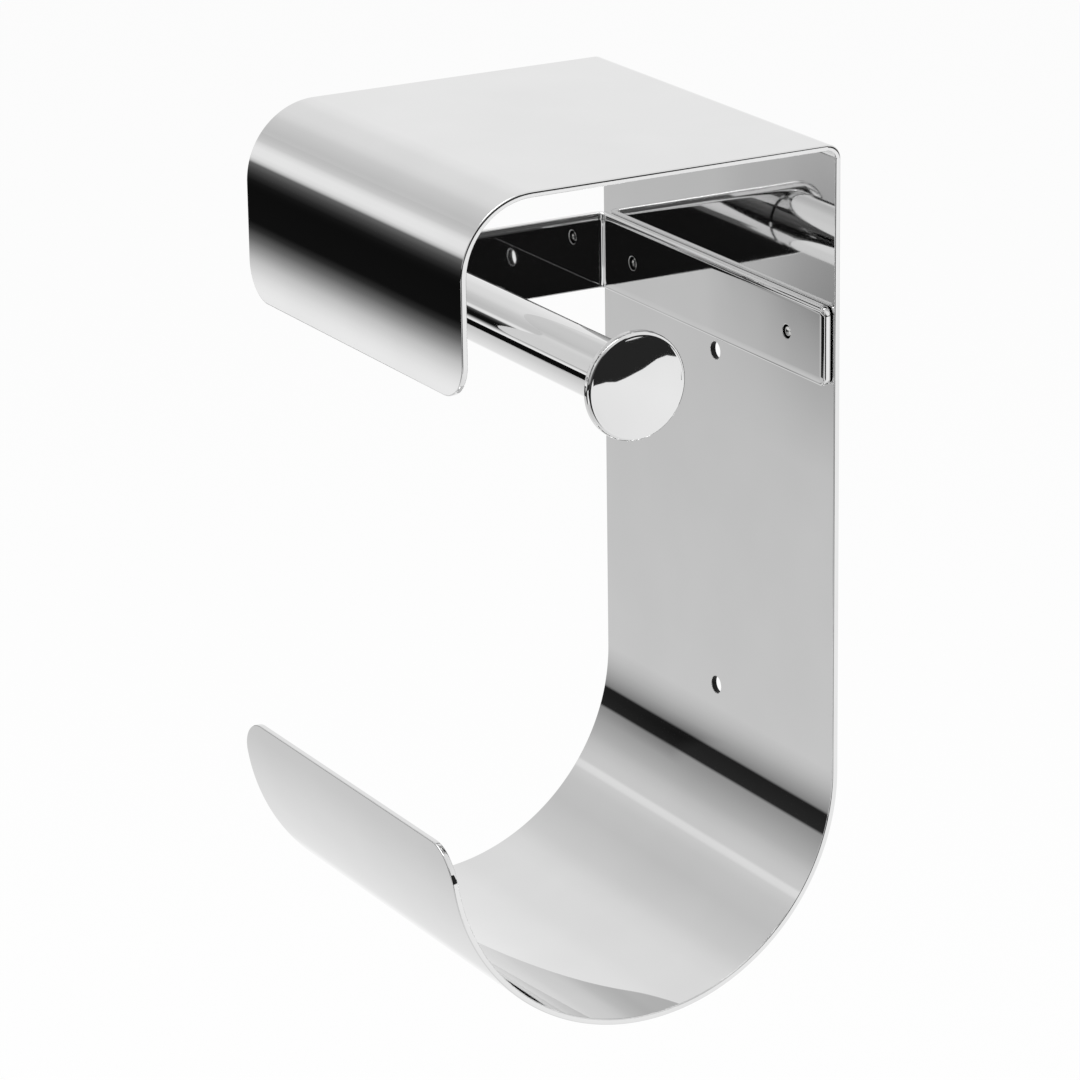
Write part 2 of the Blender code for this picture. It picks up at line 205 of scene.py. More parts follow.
# Dark cards at the right, as (depth, height) corners: the arm's is graded by height, and the knob's has
# a wavy lower edge
ARM_CARD_X = 0.5
ARM_CARD_OUTLINE = (
    (-0.95, -0.05), (-0.95, -0.21), (-0.42, -0.21), (-0.40, -0.30), (0.0, -0.32), (0.0, -0.05),
    (-0.12, 0.0), (-0.12, 0.32), (-0.47, 0.32), (-0.50, -0.05),
)
ARM_CARD_TONES = (
    (-0.32, 0.12), (-0.215, 0.12), (-0.205, 0.008), (-0.03, 0.008), (-0.01, 0.06), (0.15, 0.10),
    (0.32, 0.25),
)
KNOB_CARD_X = 1.4
KNOB_CARD_OUTLINE = (
    (-0.45, 0.40), (-0.45, -0.33), (0.05, -0.33), (0.15, -0.31), (0.25, -0.275), (0.35, -0.268),
    (0.45, -0.287), (0.55, -0.275), (0.65, -0.258), (0.75, -0.245), (0.85, -0.222), (0.95, -0.203),
    (1.1, -0.208), (1.2, -0.24), (1.38, -0.30), (1.44, -0.55), (1.8, -0.55), (1.8, 0.03), (0.55, 0.03),
    (0.50, 0.40),
)
KNOB_CARD_TONES = ((-0.55, 0.022), (0.40, 0.022))

# Cards in front, as (across, height) corners, which only the bracket's bend, end and rims mirror
FRONT_CARD_Y = -1.0
FRONT_DARK_OUTLINE = ((-1.15, -0.55), (0.0, -0.55), (0.0, 0.0), (-1.15, 0.0))
FRONT_DARK_TONES = ((-0.55, 0.01), (0.0, 0.01))
FRONT_LIGHT_OUTLINE = ((0.0, -0.55), (0.75, -0.55), (0.75, -0.10), (0.0, -0.10))
FRONT_LIGHT_TONES = ((-0.55, 1.0), (-0.10, 1.0))

# Half-clear card that shades the plate's right end: its place, its greatest shade, and the share of that
# shade by place across and by height
SHADE_CARD_Y = -0.36
SHADE_STRENGTH = 0.5
SHADE_ACROSS_SHARES = (
    (-0.588, 0.0), (-0.567, 0.3), (-0.546, 0.42), (-0.524, 0.76), (-0.503, 1.0), (-0.496, 1.0),
    (-0.486, 0.0),
)
SHADE_HEIGHT_SHARES = (
    (-0.185, 0.0), (-0.148, 0.42), (-0.116, 1.0), (-0.084, 0.7), (-0.052, 0.3), (-0.030, 0.0),
)

# Floor and lamp
FLOOR_Z = -0.5
FLOOR_SIZE = 14
FLOOR_COLOUR = (0.9, 0.9, 0.9, 1)
FLOOR_WHITE_SHARE = 0.85
LAMP_PLACE = (-0.3, -0.5, 1.6)
LAMP_SIZE = 1.2
LAMP_POWER = 12


def add_node(tree, kind, **settings):
    node = tree.nodes.new(kind)
    for name, value in settings.items():
        setattr(node, name, value)
    return node


def ramp(tree, factor, stops):
    """Colour ramp through (position, brightness or colour) stops."""
    node = add_node(tree, "ShaderNodeValToRGB")
    elements = node.color_ramp.elements
    elements.remove(elements[1])
    for number, (position, tone) in enumerate(stops):
        element = elements.new(position) if number else elements[0]
        element.position = position
        element.color = (*tone, 1) if isinstance(tone, tuple) else (tone, tone, tone, 1)
    tree.links.new(factor, node.inputs["Fac"])
    return node.outputs["Color"]


def rescale(tree, value, low, high, new_low, new_high):
    node = add_node(tree, "ShaderNodeMapRange")
    tree.links.new(value, node.inputs["Value"])
    for name, number in (("From Min", low), ("From Max", high), ("To Min", new_low), ("To Max", new_high)):
        node.inputs[name].default_value = number
    return node.outputs["Result"]


def graded(tree, value, stops):
    """Tone that follows a value through (value, tone) stops."""
    low = stops[0][0]
    high = stops[-1][0]
    position = rescale(tree, value, low, high, 0, 1)
    return ramp(tree, position, [((stop - low) / (high - low), tone) for stop, tone in stops])


def maths(tree, operation, *values):
    node = add_node(tree, "ShaderNodeMath", operation=operation)
    for socket, value in zip(node.inputs, values):
        if isinstance(value, bpy.types.NodeSocket):
            tree.links.new(value, socket)
        else:
            socket.default_value = value
    return node.outputs["Value"]


def noise(tree, place, size, detail=NOISE_DETAIL):
    node = add_node(tree, "ShaderNodeTexNoise")
    tree.links.new(place, node.inputs["Vector"])
    node.inputs["Scale"].default_value = 1 / size
    node.inputs["Detail"].default_value = detail
    return node.outputs["Fac"]


def metal(name, colour, roughness, texture, contrast):
    """Metal whose colour and gloss follow a texture, which the caller builds from the object's place."""
    material = bpy.data.materials.new(name)
    material.use_nodes = True
    tree = material.node_tree
    shader = tree.nodes["Principled BSDF"]
    shader.inputs["Metallic"].default_value = 1
    place = add_node(tree, "ShaderNodeTexCoord").outputs["Object"]
    pattern = texture(tree, place)
    dark = tuple(value * (1 - contrast) for value in colour)
    light = tuple(min(1, value * (1 + contrast)) for value in colour)
    tree.links.new(ramp(tree, pattern, ((0, dark), (1, light))), shader.inputs["Base Color"])
    gloss = rescale(tree, pattern, 0, 1, roughness * (1 - GLOSS_CONTRAST), roughness * (1 + GLOSS_CONTRAST))
    tree.links.new(gloss, shader.inputs["Roughness"])
    return material, tree, place, shader


def polished_steel(name, wave_size, wave_height):
    """Mirror polished steel with faint clouds and a slow waviness."""
    material, tree, place, shader = metal(
        name, POLISHED_COLOUR, POLISHED_ROUGHNESS,
        lambda tree, place: noise(tree, place, CLOUD_SIZE), CLOUD_CONTRAST)
    bump = add_node(tree, "ShaderNodeBump")
    bump.inputs["Distance"].default_value = wave_height
    tree.links.new(noise(tree, place, wave_size, detail=0), bump.inputs["Height"])
    tree.links.new(bump.outputs["Normal"], shader.inputs["Normal"])
    return material


def turned_metal(name, colour, roughness, direction):
    """Plain turned metal with fine tool lines across its axis."""
    def tool_lines(tree, place):
        node = add_node(tree, "ShaderNodeTexWave", bands_direction=direction)
        node.inputs["Scale"].default_value = 1 / (TURNING_LINE_SIZE * WAVE_LINES_PER_METRE)
        node.inputs["Distortion"].default_value = TURNING_DISTORTION
        tree.links.new(place, node.inputs["Vector"])
        return node.outputs["Fac"]
    return metal(name, colour, roughness, tool_lines, TURNING_CONTRAST)[0]


def new_object(name, data):
    item = bpy.data.objects.new(name, data)
    bpy.context.scene.collection.objects.link(item)
    return item


def object_from(mesh, name, material=None):
    """Finish a bmesh as an object with outward faces."""
    bmesh.ops.remove_doubles(mesh, verts=mesh.verts[:], dist=MERGE_DISTANCE)
    bmesh.ops.recalc_face_normals(mesh, faces=mesh.faces[:])
    data = bpy.data.meshes.new(name)
    mesh.to_mesh(data)
    mesh.free()
    if material:
        data.materials.append(material)
    return new_object(name, data)


def cut(item, cutters):
    """Take the cutters out of the item for good."""
    for cutter in cutters:
        modifier = item.modifiers.new(cutter.name, "BOOLEAN")
        modifier.operation = "DIFFERENCE"
        modifier.solver = "EXACT"
        modifier.material_mode = "TRANSFER"
        modifier.object = cutter
    evaluated = item.evaluated_get(bpy.context.evaluated_depsgraph_get())
    data = bpy.data.meshes.new_from_object(evaluated)
    item.modifiers.clear()
    item.data = data
    for cutter in cutters:
        bpy.data.objects.remove(cutter, do_unlink=True)


def shade(item):
    """Smooth shading that keeps the flats flat beside their small fillets."""
    item.data.shade_smooth()
    item.data.set_sharp_from_angle(angle=SHARP_ANGLE)
    modifier = item.modifiers.new("weighted_normals", "WEIGHTED_NORMAL")
    modifier.mode = "FACE_AREA"
    modifier.weight = FACE_WEIGHT
    modifier.keep_sharp = True


def stand_for(item, node):
    """Let a finished piece take the place of its node."""
    shade(item)
    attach(item, "root")
    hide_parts(node)


def blank_outline(width, length, start_radius, end_radius):
    """Outline of a flat strip along +Y, with round corners at both of its ends."""
    corners = [
        (width / 2 - start_radius, start_radius, start_radius, -pi / 2),
        (width / 2 - end_radius, length - end_radius, end_radius, 0),
        (-width / 2 + end_radius, length - end_radius, end_radius, pi / 2),
        (-width / 2 + start_radius, start_radius, start_radius, pi),
    ]
    points = []
    for across, along, radius, first_angle in corners:
        for step in range(CORNER_STEPS + 1):
            angle = first_angle + pi / 2 * step / CORNER_STEPS
            points.append((across + radius * cos(angle), along + radius * sin(angle)))
    return points


def flat_blank(outline, thickness, edge_radius, edge_steps):
    """Closed flat blank on Z = 0 with rounded rims."""
    mesh = bmesh.new()
    rim = [mesh.verts.new((across, along, 0)) for across, along in outline]
    mesh.faces.new(rim)
    bmesh.ops.remove_doubles(mesh, verts=mesh.verts[:], dist=MERGE_DISTANCE)
    raised = bmesh.ops.extrude_face_region(mesh, geom=mesh.faces[:], use_keep_orig=True)
    lifted = [part for part in raised["geom"] if isinstance(part, bmesh.types.BMVert)]
    bmesh.ops.translate(mesh, verts=lifted, vec=(0, 0, thickness))
    rims = [edge for edge in mesh.edges if edge.verts[0].co.z == edge.verts[1].co.z]
    bmesh.ops.bevel(mesh, geom=rims, offset=edge_radius, segments=edge_steps, profile=0.5,
                    affect="EDGES", clamp_overlap=True)
    return mesh


def crown_face(mesh, height, width, drop):
    """Let a blank's flat face fall a little towards its rim, as polishing leaves it, most at its top."""
    face = next(face for face in mesh.faces
                if all(abs(vertex.co.z - height) < MERGE_DISTANCE for vertex in face.verts))
    for step in range(CROWN_STEPS):
        band = bmesh.ops.inset_region(mesh, faces=[face], thickness=width / CROWN_STEPS,
                                      use_even_offset=True)["faces"]
        rim = {vertex for part in band for vertex in part.verts} - set(face.verts)
        for vertex in rim:
            share = CROWN_LOW_SHARE + (1 - CROWN_LOW_SHARE) * (0.5 + vertex.co.x / BRACKET_HEIGHT)
            vertex.co.z = height - drop * share * (1 - step / CROWN_STEPS) ** 2


def route_length(route):
    return sum(run for run, radius in route)


def bend_cuts(route, outline):
    """Distances at which a blank is cut across, so that it can follow the bends of its route."""
    side = outline[:2 * CORNER_STEPS + 2]
    start_corner = max(along for across, along in side[:CORNER_STEPS + 1])
    end_corner = min(along for across, along in side[CORNER_STEPS + 1:])
    cuts = []
    begin = 0
    for run, radius in route:
        if radius:
            steps = max(SMALLEST_BEND_STEPS, round(run / FACET_LENGTH))
            even = [begin + run * step / steps for step in range(steps + 1)]
            cuts += [along for along in even if start_corner <= along <= end_corner or along == begin]
            cuts += [along for across, along in side if begin < along < begin + run]
        begin += run
    length = route_length(route)
    return [along for along in cuts if 0 < along < length]


def point_on_route(route, start, distance, inward):
    """Point at a distance along a route of right-hand bends, moved inward by an offset."""
    point = Vector(start)
    turned_by = 0
    for run, radius in route:
        step = min(distance, run)
        heading = Vector((sin(turned_by), cos(turned_by)))
        right = Vector((cos(turned_by), -sin(turned_by)))
        if radius:
            turn = step / radius
            point += radius * (heading * sin(turn) + right * (1 - cos(turn)))
            turned_by += turn
        else:
            point += step * heading
        distance -= step
        if distance <= 0:
            break
    return point + inward * Vector((cos(turned_by), -sin(turned_by)))


def bend_blank(mesh, route, start, cuts, place):
    """Cut a flat blank across at each distance and wrap it along its route."""
    for distance in cuts:
        geometry = mesh.verts[:] + mesh.edges[:] + mesh.faces[:]
        bmesh.ops.bisect_plane(mesh, geom=geometry, dist=MERGE_DISTANCE,
                               plane_co=(0, distance, 0), plane_no=(0, 1, 0))
    for vertex in mesh.verts:
        across, along, inward = vertex.co
        vertex.co = place(across, point_on_route(route, start, along, inward))


def turned(name, profile, segments, material=None, ring=False):
    """Turn a profile of (radius, height) points about Z; a ring's profile closes on itself."""
    mesh = bmesh.new()
    points = [mesh.verts.new((radius, 0, height)) for radius, height in profile]
    edges = [mesh.edges.new(pair) for pair in zip(points, points[1:])]
    if ring:
        edges.append(mesh.edges.new((points[-1], points[0])))
    bmesh.ops.spin(mesh, geom=points + edges, cent=(0, 0, 0), axis=(0, 0, 1), dvec=(0, 0, 0),
                   angle=2 * pi, steps=segments, use_merge=True, use_duplicate=False)
    return object_from(mesh, name, material)


def settle(item, place, rotation=(0, 0)):
    """Turn an object's mesh and move it to its place, while the object stays at the origin."""
    turn = Matrix.Rotation(rotation[1], 4, "Y") @ Matrix.Rotation(rotation[0], 4, "X")
    item.data.transform(Matrix.Translation(place) @ turn)
    return item


def hole_cutter(radius, chamfer, thickness, bore, rim):
    """Round cutter along +Z through a plate, flared at both faces to leave a small chamfer. Its bore takes
    the near-black bore finish, painted shade, and its chamfers the lighter rim finish, a painted highlight.
    """
    depth = chamfer * CHAMFER_SLOPE
    flare = radius + (depth + CUT_OVERRUN) / CHAMFER_SLOPE
    profile = [
        (0, -CUT_OVERRUN),
        (flare, -CUT_OVERRUN),
        (radius, depth),
        (radius, thickness - depth),
        (flare, thickness + CUT_OVERRUN),
        (0, thickness + CUT_OVERRUN),
    ]
    cutter = turned("hole_cutter", profile, SCREW_SEGMENTS, bore)
    cutter.data.materials.append(rim)
    for face in cutter.data.polygons:
        # Bore faces take the painted-shade bore finish, chamfer faces the painted-highlight rim finish
        face.material_index = 1 if abs(face.normal.z) > BORE_TILT_LIMIT else 0
    return cutter


def countersink_cutter(head, shank, thickness):
    """Cutter along +Z that seats a countersunk head in the face at Z = 0."""
    cone_end = HEAD_RIM + head - shank
    profile = [
        (0, -CUT_OVERRUN),
        (head + HEAD_GAP, -CUT_OVERRUN),
        (head + HEAD_GAP, HEAD_RIM),
        (shank + HEAD_GAP, cone_end),
        (shank + HEAD_GAP, thickness + CUT_OVERRUN),
        (0, thickness + CUT_OVERRUN),
    ]
    return turned("countersink_cutter", profile, SCREW_SEGMENTS)


def add_shell():
    """Hood, back plate and cradle, bent from one strip that starts at the hood's lip."""
    route = [
        (HOOD_LIP_DROP - HOOD_BEND_RADIUS, None),
        (HOOD_BEND_RADIUS * pi / 2, HOOD_BEND_RADIUS),
        (HOOD_DEPTH - HOOD_BEND_RADIUS - BACK_BEND_RADIUS, None),
        (BACK_BEND_RADIUS * pi / 2, BACK_BEND_RADIUS),
        (shell_high.z - BACK_BEND_RADIUS - CRADLE_AXIS_Z, None),
        (CRADLE_RADIUS * pi, CRADLE_RADIUS),
        (CRADLE_LIP_RISE, None),
    ]
    outline = blank_outline(SHEET_WIDTH, route_length(route), SHEET_CORNER_RADIUS, SHEET_CORNER_RADIUS)
    mesh = flat_blank(outline, SHEET_THICKNESS, SHEET_EDGE_RADIUS, SHEET_EDGE_STEPS)
    start = (-HOOD_DEPTH, shell_high.z - HOOD_LIP_DROP)
    bend_blank(mesh, route, start, bend_cuts(route, outline),
               lambda across, point: (across, point.x, point.y))
    steel = polished_steel("polished_sheet", SHEET_WAVE_SIZE, SHEET_WAVE_HEIGHT)
    shell = object_from(mesh, "bent_steel_sheet", steel)
    # Near-black bore finish of the wall holes: painted shade inside them
    sheet_bore_shade = turned_metal("sheet_bore_painted_shade", BORE_PAINTED_SHADE_COLOUR, DRILLED_ROUGHNESS, "Y")
    # Lighter rim finish on the wall holes' chamfers: painted highlight
    rim = turned_metal("sheet_rim_painted_highlight", RIM_PAINTED_HIGHLIGHT_COLOUR, CUT_ROUGHNESS, "Y")
    cutters = []
    for side in (-1, 1):
        hole = hole_cutter(WALL_HOLE_RADIUS, WALL_HOLE_CHAMFER, SHEET_THICKNESS, sheet_bore_shade, rim)
        cutters.append(settle(hole, (0, 0, side * WALL_HOLE_Z), TO_FRONT))
        seat = countersink_cutter(FLANGE_HEAD_RADIUS, FLANGE_SHANK_RADIUS, SHEET_THICKNESS)
        cutters.append(settle(seat, (side * FLANGE_SCREW_X, screw_high.y, SPINDLE_Z), TO_FRONT))
    cut(shell, cutters)
    stand_for(shell, "shell")


def add_bracket():
    """Roll arm and flange, bent from one bar that starts at the arm's round free end."""
    outer_radius = BRACKET_INNER_RADIUS + BRACKET_THICKNESS
    route = [
        (arm_high.y - arm_low.y - outer_radius, None),
        (outer_radius * pi / 2, outer_radius),
        (arm_high.x - arm_low.x - outer_radius, None),
    ]
    outline = blank_outline(BRACKET_HEIGHT, route_length(route), BRACKET_HEIGHT / 2, BRACKET_CORNER_RADIUS)
    mesh = flat_blank(outline, BRACKET_THICKNESS, BRACKET_EDGE_RADIUS, BRACKET_EDGE_STEPS)
    crown_face(mesh, BRACKET_THICKNESS, BRACKET_CROWN_WIDTH, BRACKET_CROWN_DROP)
    bend_blank(mesh, route, (arm_low.x, arm_low.y), bend_cuts(route, outline),
               lambda across, point: (point.x, point.y, SPINDLE_Z + across))
    steel = polished_steel("polished_plate", PLATE_WAVE_SIZE, PLATE_WAVE_HEIGHT)
    bracket = object_from(mesh, "bent_roll_arm", steel)
    # Near-black bore finish of the tapped holes: painted shade inside them
    plate_bore_shade = turned_metal("plate_bore_painted_shade", BORE_PAINTED_SHADE_COLOUR, DRILLED_ROUGHNESS, "Y")
    # Lighter rim finish on the tapped holes' chamfers: painted highlight
    rim = turned_metal("plate_rim_painted_highlight", RIM_PAINTED_HIGHLIGHT_COLOUR, CUT_ROUGHNESS, "Y")
    cutters = []
    for side in (-1, 1):
        hole = hole_cutter(TAPPED_HOLE_RADIUS, TAPPED_HOLE_CHAMFER, BRACKET_THICKNESS, plate_bore_shade, rim)
        cutters.append(settle(hole, (side * FLANGE_SCREW_X, arm_high.y, SPINDLE_Z), TO_FRONT))
    seat = countersink_cutter(SPINDLE_HEAD_RADIUS, SPINDLE_SHANK_RADIUS, BRACKET_THICKNESS)
    cutters.append(settle(seat, (spindle_screw_low.x, SPINDLE_Y, SPINDLE_Z), TO_RIGHT))
    cut(bracket, cutters)
    stand_for(bracket, "roll_arm_bracket")


def add_spindle_tube():
    outer = SPINDLE_RADIUS
    inner = outer - TUBE_WALL
    length = tube_high.x - tube_low.x
    profile = [
        (inner, 0),
        (inner, length),
        (outer - TURNED_CHAMFER, length),
        (outer, length - TURNED_CHAMFER),
        (outer, TURNED_CHAMFER),
        (outer - TURNED_CHAMFER, 0),
    ]
    steel = polished_steel("polished_tube", PLATE_WAVE_SIZE, TURNED_WAVE_HEIGHT)
    tube = turned("bright_spindle_tube", profile, TURNED_SEGMENTS, steel, ring=True)
    settle(tube, (tube_low.x, SPINDLE_Y, SPINDLE_Z), TO_RIGHT)
    stand_for(tube, "spindle_tube")


def dome_points(radius, base, rise):
    """Points of a shallow dome from its centre out to its rim."""
    sphere = (radius ** 2 + rise ** 2) / (2 * rise)
    points = []
    for step in range(DOME_STEPS + 1):
        out = radius * step / DOME_STEPS
        points.append((out, base + rise - sphere + sqrt(sphere ** 2 - out ** 2)))
    return points


def rim_points(radius, low, high, fillet):
    """Points down a rounded rim, between the ends of its two fillets."""
    points = []
    for centre, first_angle in ((high - fillet, pi / 2), (low + fillet, 0)):
        for step in range(RIM_STEPS + 1):
            angle = first_angle - pi / 2 * step / RIM_STEPS
            points.append((radius - fillet + fillet * cos(angle), centre + fillet * sin(angle)))
    return points


def add_knob():
    """Domed disc with a rounded rim and a spigot in the tube's mouth."""
    back_x = SHEET_WIDTH / 2
    rise = knob_high.x - back_x - KNOB_RIM_THICKNESS
    spigot_length = back_x - knob_low.x
    profile = dome_points(KNOB_RADIUS - KNOB_EDGE_RADIUS, KNOB_RIM_THICKNESS, rise)
    profile += rim_points(KNOB_RADIUS, 0, KNOB_RIM_THICKNESS, KNOB_EDGE_RADIUS)[1:]
    profile += [(KNOB_SPIGOT_RADIUS, 0), (KNOB_SPIGOT_RADIUS, -spigot_length), (0, -spigot_length)]
    steel = polished_steel("polished_knob", PLATE_WAVE_SIZE, TURNED_WAVE_HEIGHT)
    knob = turned("domed_knob", profile, TURNED_SEGMENTS, steel)
    settle(knob, (back_x, SPINDLE_Y, SPINDLE_Z), TO_RIGHT)
    stand_for(knob, "knob")


def screw_profile(head, shank, length, pitch):
    """Profile of a countersunk screw from its head at height zero, finely stepped along its thread."""
    cone_end = HEAD_RIM + head - shank
    thread_end = length - END_CHAMFER
    steps = round((thread_end - cone_end) / pitch * THREAD_STEPS)
    run = [(shank, cone_end + (thread_end - cone_end) * step / steps) for step in range(steps + 1)]
    end = [
        (shank - END_CHAMFER, length),
        (END_DIMPLE_RADIUS, length),
        (0, length - END_DIMPLE_DEPTH),
    ]
    return [(0, 0), (head, 0), (head, HEAD_RIM)] + run + end


def threaded(name, profile, shank, pitch, depth, material):
    """Turn a screw profile about Z and cut a helical thread into its shank."""
    crests = [height for radius, height in profile if radius == shank]
    low = min(crests)
    high = max(crests)
    mesh = bmesh.new()
    rings = []
    for radius, height in profile:
        ring = []
        for segment in range(SCREW_SEGMENTS):
            angle = 2 * pi * segment / SCREW_SEGMENTS
            turn = (height / pitch - segment / SCREW_SEGMENTS) % 1
            fade = max(0, min(1, (height - low) / pitch, (high - height) / pitch))
            groove = depth * fade * abs(2 * turn - 1) if radius == shank else 0
            out = radius - groove
            ring.append(mesh.verts.new((out * cos(angle), out * sin(angle), height)))
        rings.append(ring)
    for lower, upper in zip(rings, rings[1:]):
        for segment in range(SCREW_SEGMENTS):
            following = (segment + 1) % SCREW_SEGMENTS
            mesh.faces.new((lower[segment], lower[following], upper[following], upper[segment]))
    return object_from(mesh, name, material)


def hexagon_cutter(across_flats, depth):
    """Hexagon prism from below Z = 0 up to a depth along +Z."""
    radius = across_flats / sqrt(3)
    profile = [(0, -CUT_OVERRUN), (radius, -CUT_OVERRUN), (radius, depth), (0, depth)]
    return turned("socket_cutter", profile, HEXAGON_SIDES)


def add_flange_screws():
    profile = screw_profile(FLANGE_HEAD_RADIUS, FLANGE_SHANK_RADIUS, FLANGE_SCREW_LENGTH,
                            FLANGE_THREAD_PITCH)
    for side, direction in (("left", -1), ("right", 1)):
        steel = turned_metal(f"flange_screw_{side}_steel", SCREW_COLOUR, SCREW_ROUGHNESS, "Y")
        screw = threaded(f"socket_flange_screw_{side}", profile, FLANGE_SHANK_RADIUS,
                         FLANGE_THREAD_PITCH, FLANGE_THREAD_DEPTH, steel)
        cut(screw, [hexagon_cutter(FLANGE_KEY, FLANGE_KEY_DEPTH)])
        settle(screw, (direction * FLANGE_SCREW_X, screw_high.y, SPINDLE_Z), TO_FRONT)
        stand_for(screw, f"flange_screw_{side}")


def add_spindle_screw():
    profile = screw_profile(SPINDLE_HEAD_RADIUS, SPINDLE_SHANK_RADIUS, SPINDLE_SCREW_LENGTH,
                            SPINDLE_THREAD_PITCH)
    steel = turned_metal("spindle_screw_steel", SCREW_COLOUR, SCREW_ROUGHNESS, "X")
    screw = threaded("socket_spindle_screw", profile, SPINDLE_SHANK_RADIUS, SPINDLE_THREAD_PITCH,
                     SPINDLE_THREAD_DEPTH, steel)
    cut(screw, [hexagon_cutter(SPINDLE_KEY, SPINDLE_KEY_DEPTH)])
    settle(screw, (spindle_screw_low.x, SPINDLE_Y, SPINDLE_Z), TO_RIGHT)
    stand_for(screw, "spindle_screw")


def finish_carried(node, material):
    """Give a piece that is carried over from the frame its own finish."""
    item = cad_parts[node]
    for slot in item.material_slots:
        slot.material = material
    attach(item, "root")


def add_camera():
    data = bpy.data.cameras.new("camera")
    data.lens = CAMERA_LENS
    camera = new_object("camera", data)
    view = (CAMERA_TARGET - CAMERA_PLACE).to_track_quat("-Z", "Y").to_matrix().to_4x4()
    camera.matrix_world = Matrix.Translation(CAMERA_PLACE) @ view @ Matrix.Rotation(CAMERA_ROLL, 4, "Z")
    bpy.context.scene.camera = camera


def mixed_colour(tree, factor, first, second):
    node = add_node(tree, "ShaderNodeMix", data_type="RGBA")
    tree.links.new(factor, node.inputs["Factor"])
    for index, colour in zip(MIX_COLOUR_INPUTS, (first, second)):
        socket = node.inputs[index]
        if isinstance(colour, bpy.types.NodeSocket):
            tree.links.new(colour, socket)
        else:
            socket.default_value = colour
    return node.outputs[MIX_COLOUR_OUTPUT]


def add_world():
    """White background, with the studio's tones about the X axis for what the steel mirrors."""
    world = bpy.data.worlds.new("studio")
    world.use_nodes = True
    tree = world.node_tree
    direction = add_node(tree, "ShaderNodeSeparateXYZ")
    tree.links.new(add_node(tree, "ShaderNodeTexCoord").outputs["Generated"], direction.inputs[0])
    towards_room = maths(tree, "MULTIPLY", direction.outputs["Y"], -1)
    angle = maths(tree, "ARCTAN2", direction.outputs["Z"], towards_room)
    tones = graded(tree, angle, [(radians(degrees), tone) for degrees, tone in STUDIO_TONES])
    path = add_node(tree, "ShaderNodeLightPath")
    plain = mixed_colour(tree, path.outputs["Is Diffuse Ray"], WHITE, ROOM_FILL)
    colour = mixed_colour(tree, path.outputs["Is Glossy Ray"], plain, tones)
    tree.links.new(colour, tree.nodes["Background"].inputs["Color"])
    bpy.context.scene.world = world


def flat_object(name, corners, material):
    """Object with one flat face."""
    mesh = bpy.data.meshes.new(name)
    mesh.from_pydata(corners, [], [range(len(corners))])
    mesh.materials.append(material)
    return new_object(name, mesh)


def card(name, corners, material):
    """Flat studio card that only the polished steel sees."""
    item = flat_object(name, corners, material)
    item.visible_camera = False
    item.visible_diffuse = False
    item.visible_shadow = False


def bare_material(name):
    """Material without a shader, which the caller adds."""
    material = bpy.data.materials.new(name)
    material.use_nodes = True
    tree = material.node_tree
    tree.nodes.remove(tree.nodes["Principled BSDF"])
    return material, tree


def link_surface(tree, shader):
    tree.links.new(shader, tree.nodes["Material Output"].inputs["Surface"])


def place_on_card(tree):
    """The X, Y and Z of a point on a card."""
    place = add_node(tree, "ShaderNodeSeparateXYZ")
    tree.links.new(add_node(tree, "ShaderNodeTexCoord").outputs["Object"], place.inputs[0])
    return place.outputs


def graded_card(name, corners, tones):
    """Studio card whose brightness follows its height."""
    material, tree = bare_material(f"{name}_tones")
    glow = add_node(tree, "ShaderNodeEmission")
    tree.links.new(graded(tree, place_on_card(tree)["Z"], tones), glow.inputs["Color"])
    link_surface(tree, glow.outputs["Emission"])
    card(name, corners, material)


def add_side_cards():
    """Dark cards at the right, for the arm and the knob."""
    for name, side, outline, tones in (
            ("arm_card", ARM_CARD_X, ARM_CARD_OUTLINE, ARM_CARD_TONES),
            ("knob_card", KNOB_CARD_X, KNOB_CARD_OUTLINE, KNOB_CARD_TONES)):
        graded_card(name, [(side, deep, height) for deep, height in outline], tones)


def add_facing_cards():
    """Cards that face the wall: one before the hood, and a dark and a light one farther off."""
    for name, distance, outline, tones in (
            ("hood_card", HOOD_CARD_Y, HOOD_CARD_OUTLINE, HOOD_CARD_TONES),
            ("front_dark_card", FRONT_CARD_Y, FRONT_DARK_OUTLINE, FRONT_DARK_TONES),
            ("front_light_card", FRONT_CARD_Y, FRONT_LIGHT_OUTLINE, FRONT_LIGHT_TONES)):
        graded_card(name, [(across, distance, height) for across, height in outline], tones)


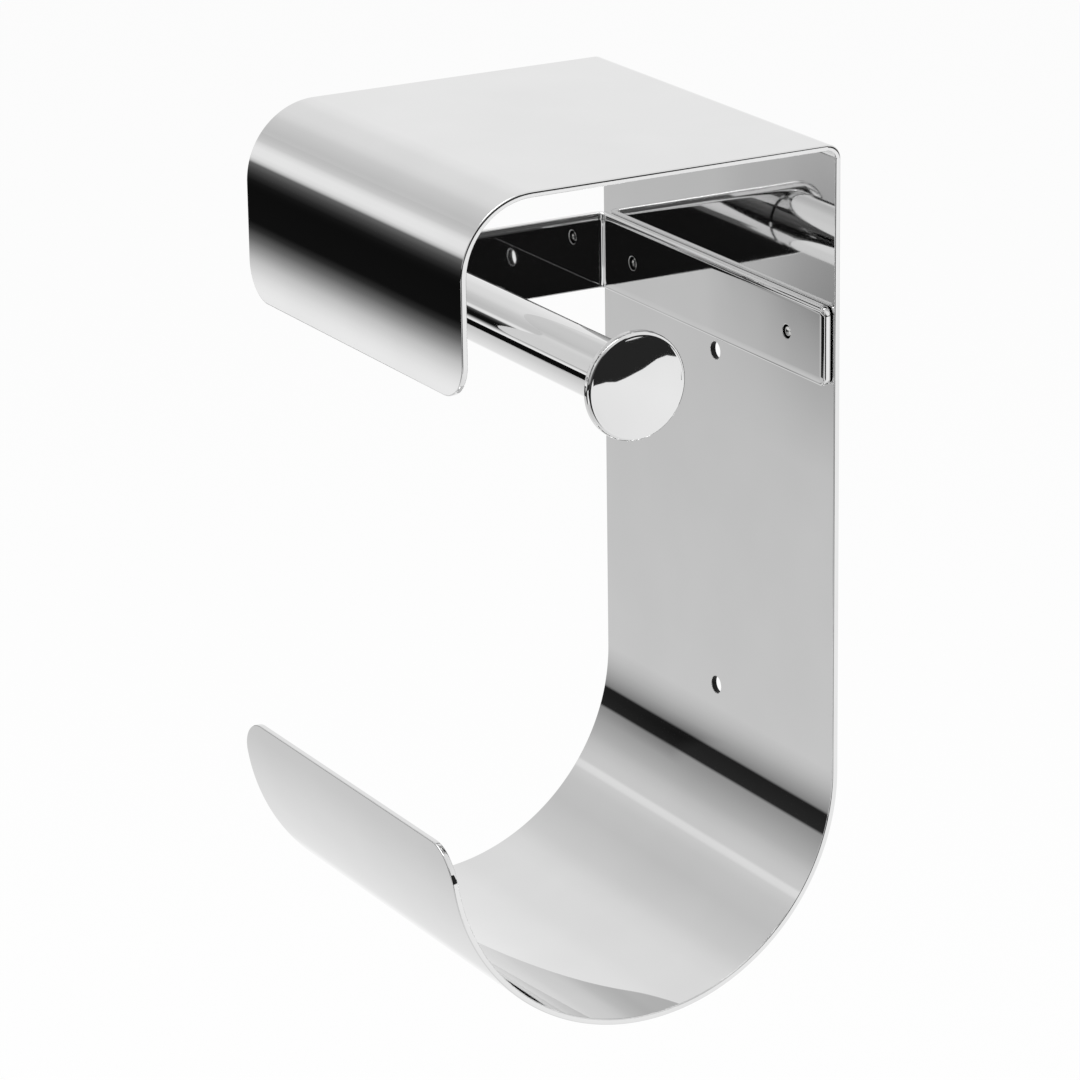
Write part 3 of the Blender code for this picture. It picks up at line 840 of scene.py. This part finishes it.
def add_shade_card():
    """Half-clear card, soft at its sides, that darkens what the plate's right end mirrors."""
    material, tree = bare_material("shade_card_tones")
    place = place_on_card(tree)
    across_share = graded(tree, place["X"], SHADE_ACROSS_SHARES)
    height_share = graded(tree, place["Z"], SHADE_HEIGHT_SHARES)
    shade_share = maths(tree, "MULTIPLY", across_share, height_share)
    clear = add_node(tree, "ShaderNodeBsdfTransparent")
    tree.links.new(maths(tree, "MULTIPLY_ADD", shade_share, -SHADE_STRENGTH, 1), clear.inputs["Color"])
    link_surface(tree, clear.outputs["BSDF"])
    left = SHADE_ACROSS_SHARES[0][0]
    right = SHADE_ACROSS_SHARES[-1][0]
    low = SHADE_HEIGHT_SHARES[0][0]
    high = SHADE_HEIGHT_SHARES[-1][0]
    outline = ((left, low), (right, low), (right, high), (left, high))
    card("shade_card", [(across, SHADE_CARD_Y, height) for across, height in outline], material)


def add_floor():
    """Pale floor that the camera sees as nearly white, with the part's soft shadow kept."""
    material, tree = bare_material("pale_floor")
    matt = add_node(tree, "ShaderNodeBsdfDiffuse")
    matt.inputs["Color"].default_value = FLOOR_COLOUR
    glow = add_node(tree, "ShaderNodeEmission")
    path = add_node(tree, "ShaderNodeLightPath")
    seen = maths(tree, "ADD", path.outputs["Is Camera Ray"], path.outputs["Is Glossy Ray"])
    seen = maths(tree, "ADD", seen, path.outputs["Is Transmission Ray"])
    share = maths(tree, "MULTIPLY", seen, FLOOR_WHITE_SHARE)
    blend = add_node(tree, "ShaderNodeMixShader")
    tree.links.new(share, blend.inputs["Fac"])
    tree.links.new(matt.outputs["BSDF"], blend.inputs[1])
    tree.links.new(glow.outputs["Emission"], blend.inputs[2])
    link_surface(tree, blend.outputs["Shader"])
    half = FLOOR_SIZE / 2
    outline = ((-half, -half), (half, -half), (half, half), (-half, half))
    floor = flat_object("floor", [(across, deep, FLOOR_Z) for across, deep in outline], material)
    floor.visible_glossy = False


def add_lamp():
    data = bpy.data.lights.new("softbox", "AREA")
    data.size = LAMP_SIZE
    data.energy = LAMP_POWER
    lamp = new_object("softbox", data)
    lamp.location = LAMP_PLACE
    lamp.rotation_euler = (-Vector(LAMP_PLACE)).to_track_quat("-Z", "Y").to_euler()


add_shell()
add_bracket()
add_spindle_tube()
add_knob()
add_flange_screws()
add_spindle_screw()
for node in ("arm_end_insert", "knob_end_insert"):
    finish_carried(node, turned_metal(f"{node}_brass", BRASS_COLOUR, BRASS_ROUGHNESS, "X"))
finish_carried("knob_stud", turned_metal("knob_stud_steel", SCREW_COLOUR, SCREW_ROUGHNESS, "X"))
add_camera()
add_world()
add_side_cards()
add_facing_cards()
add_shade_card()
add_floor()
add_lamp()
bpy.context.scene.view_settings.view_transform = "Standard"
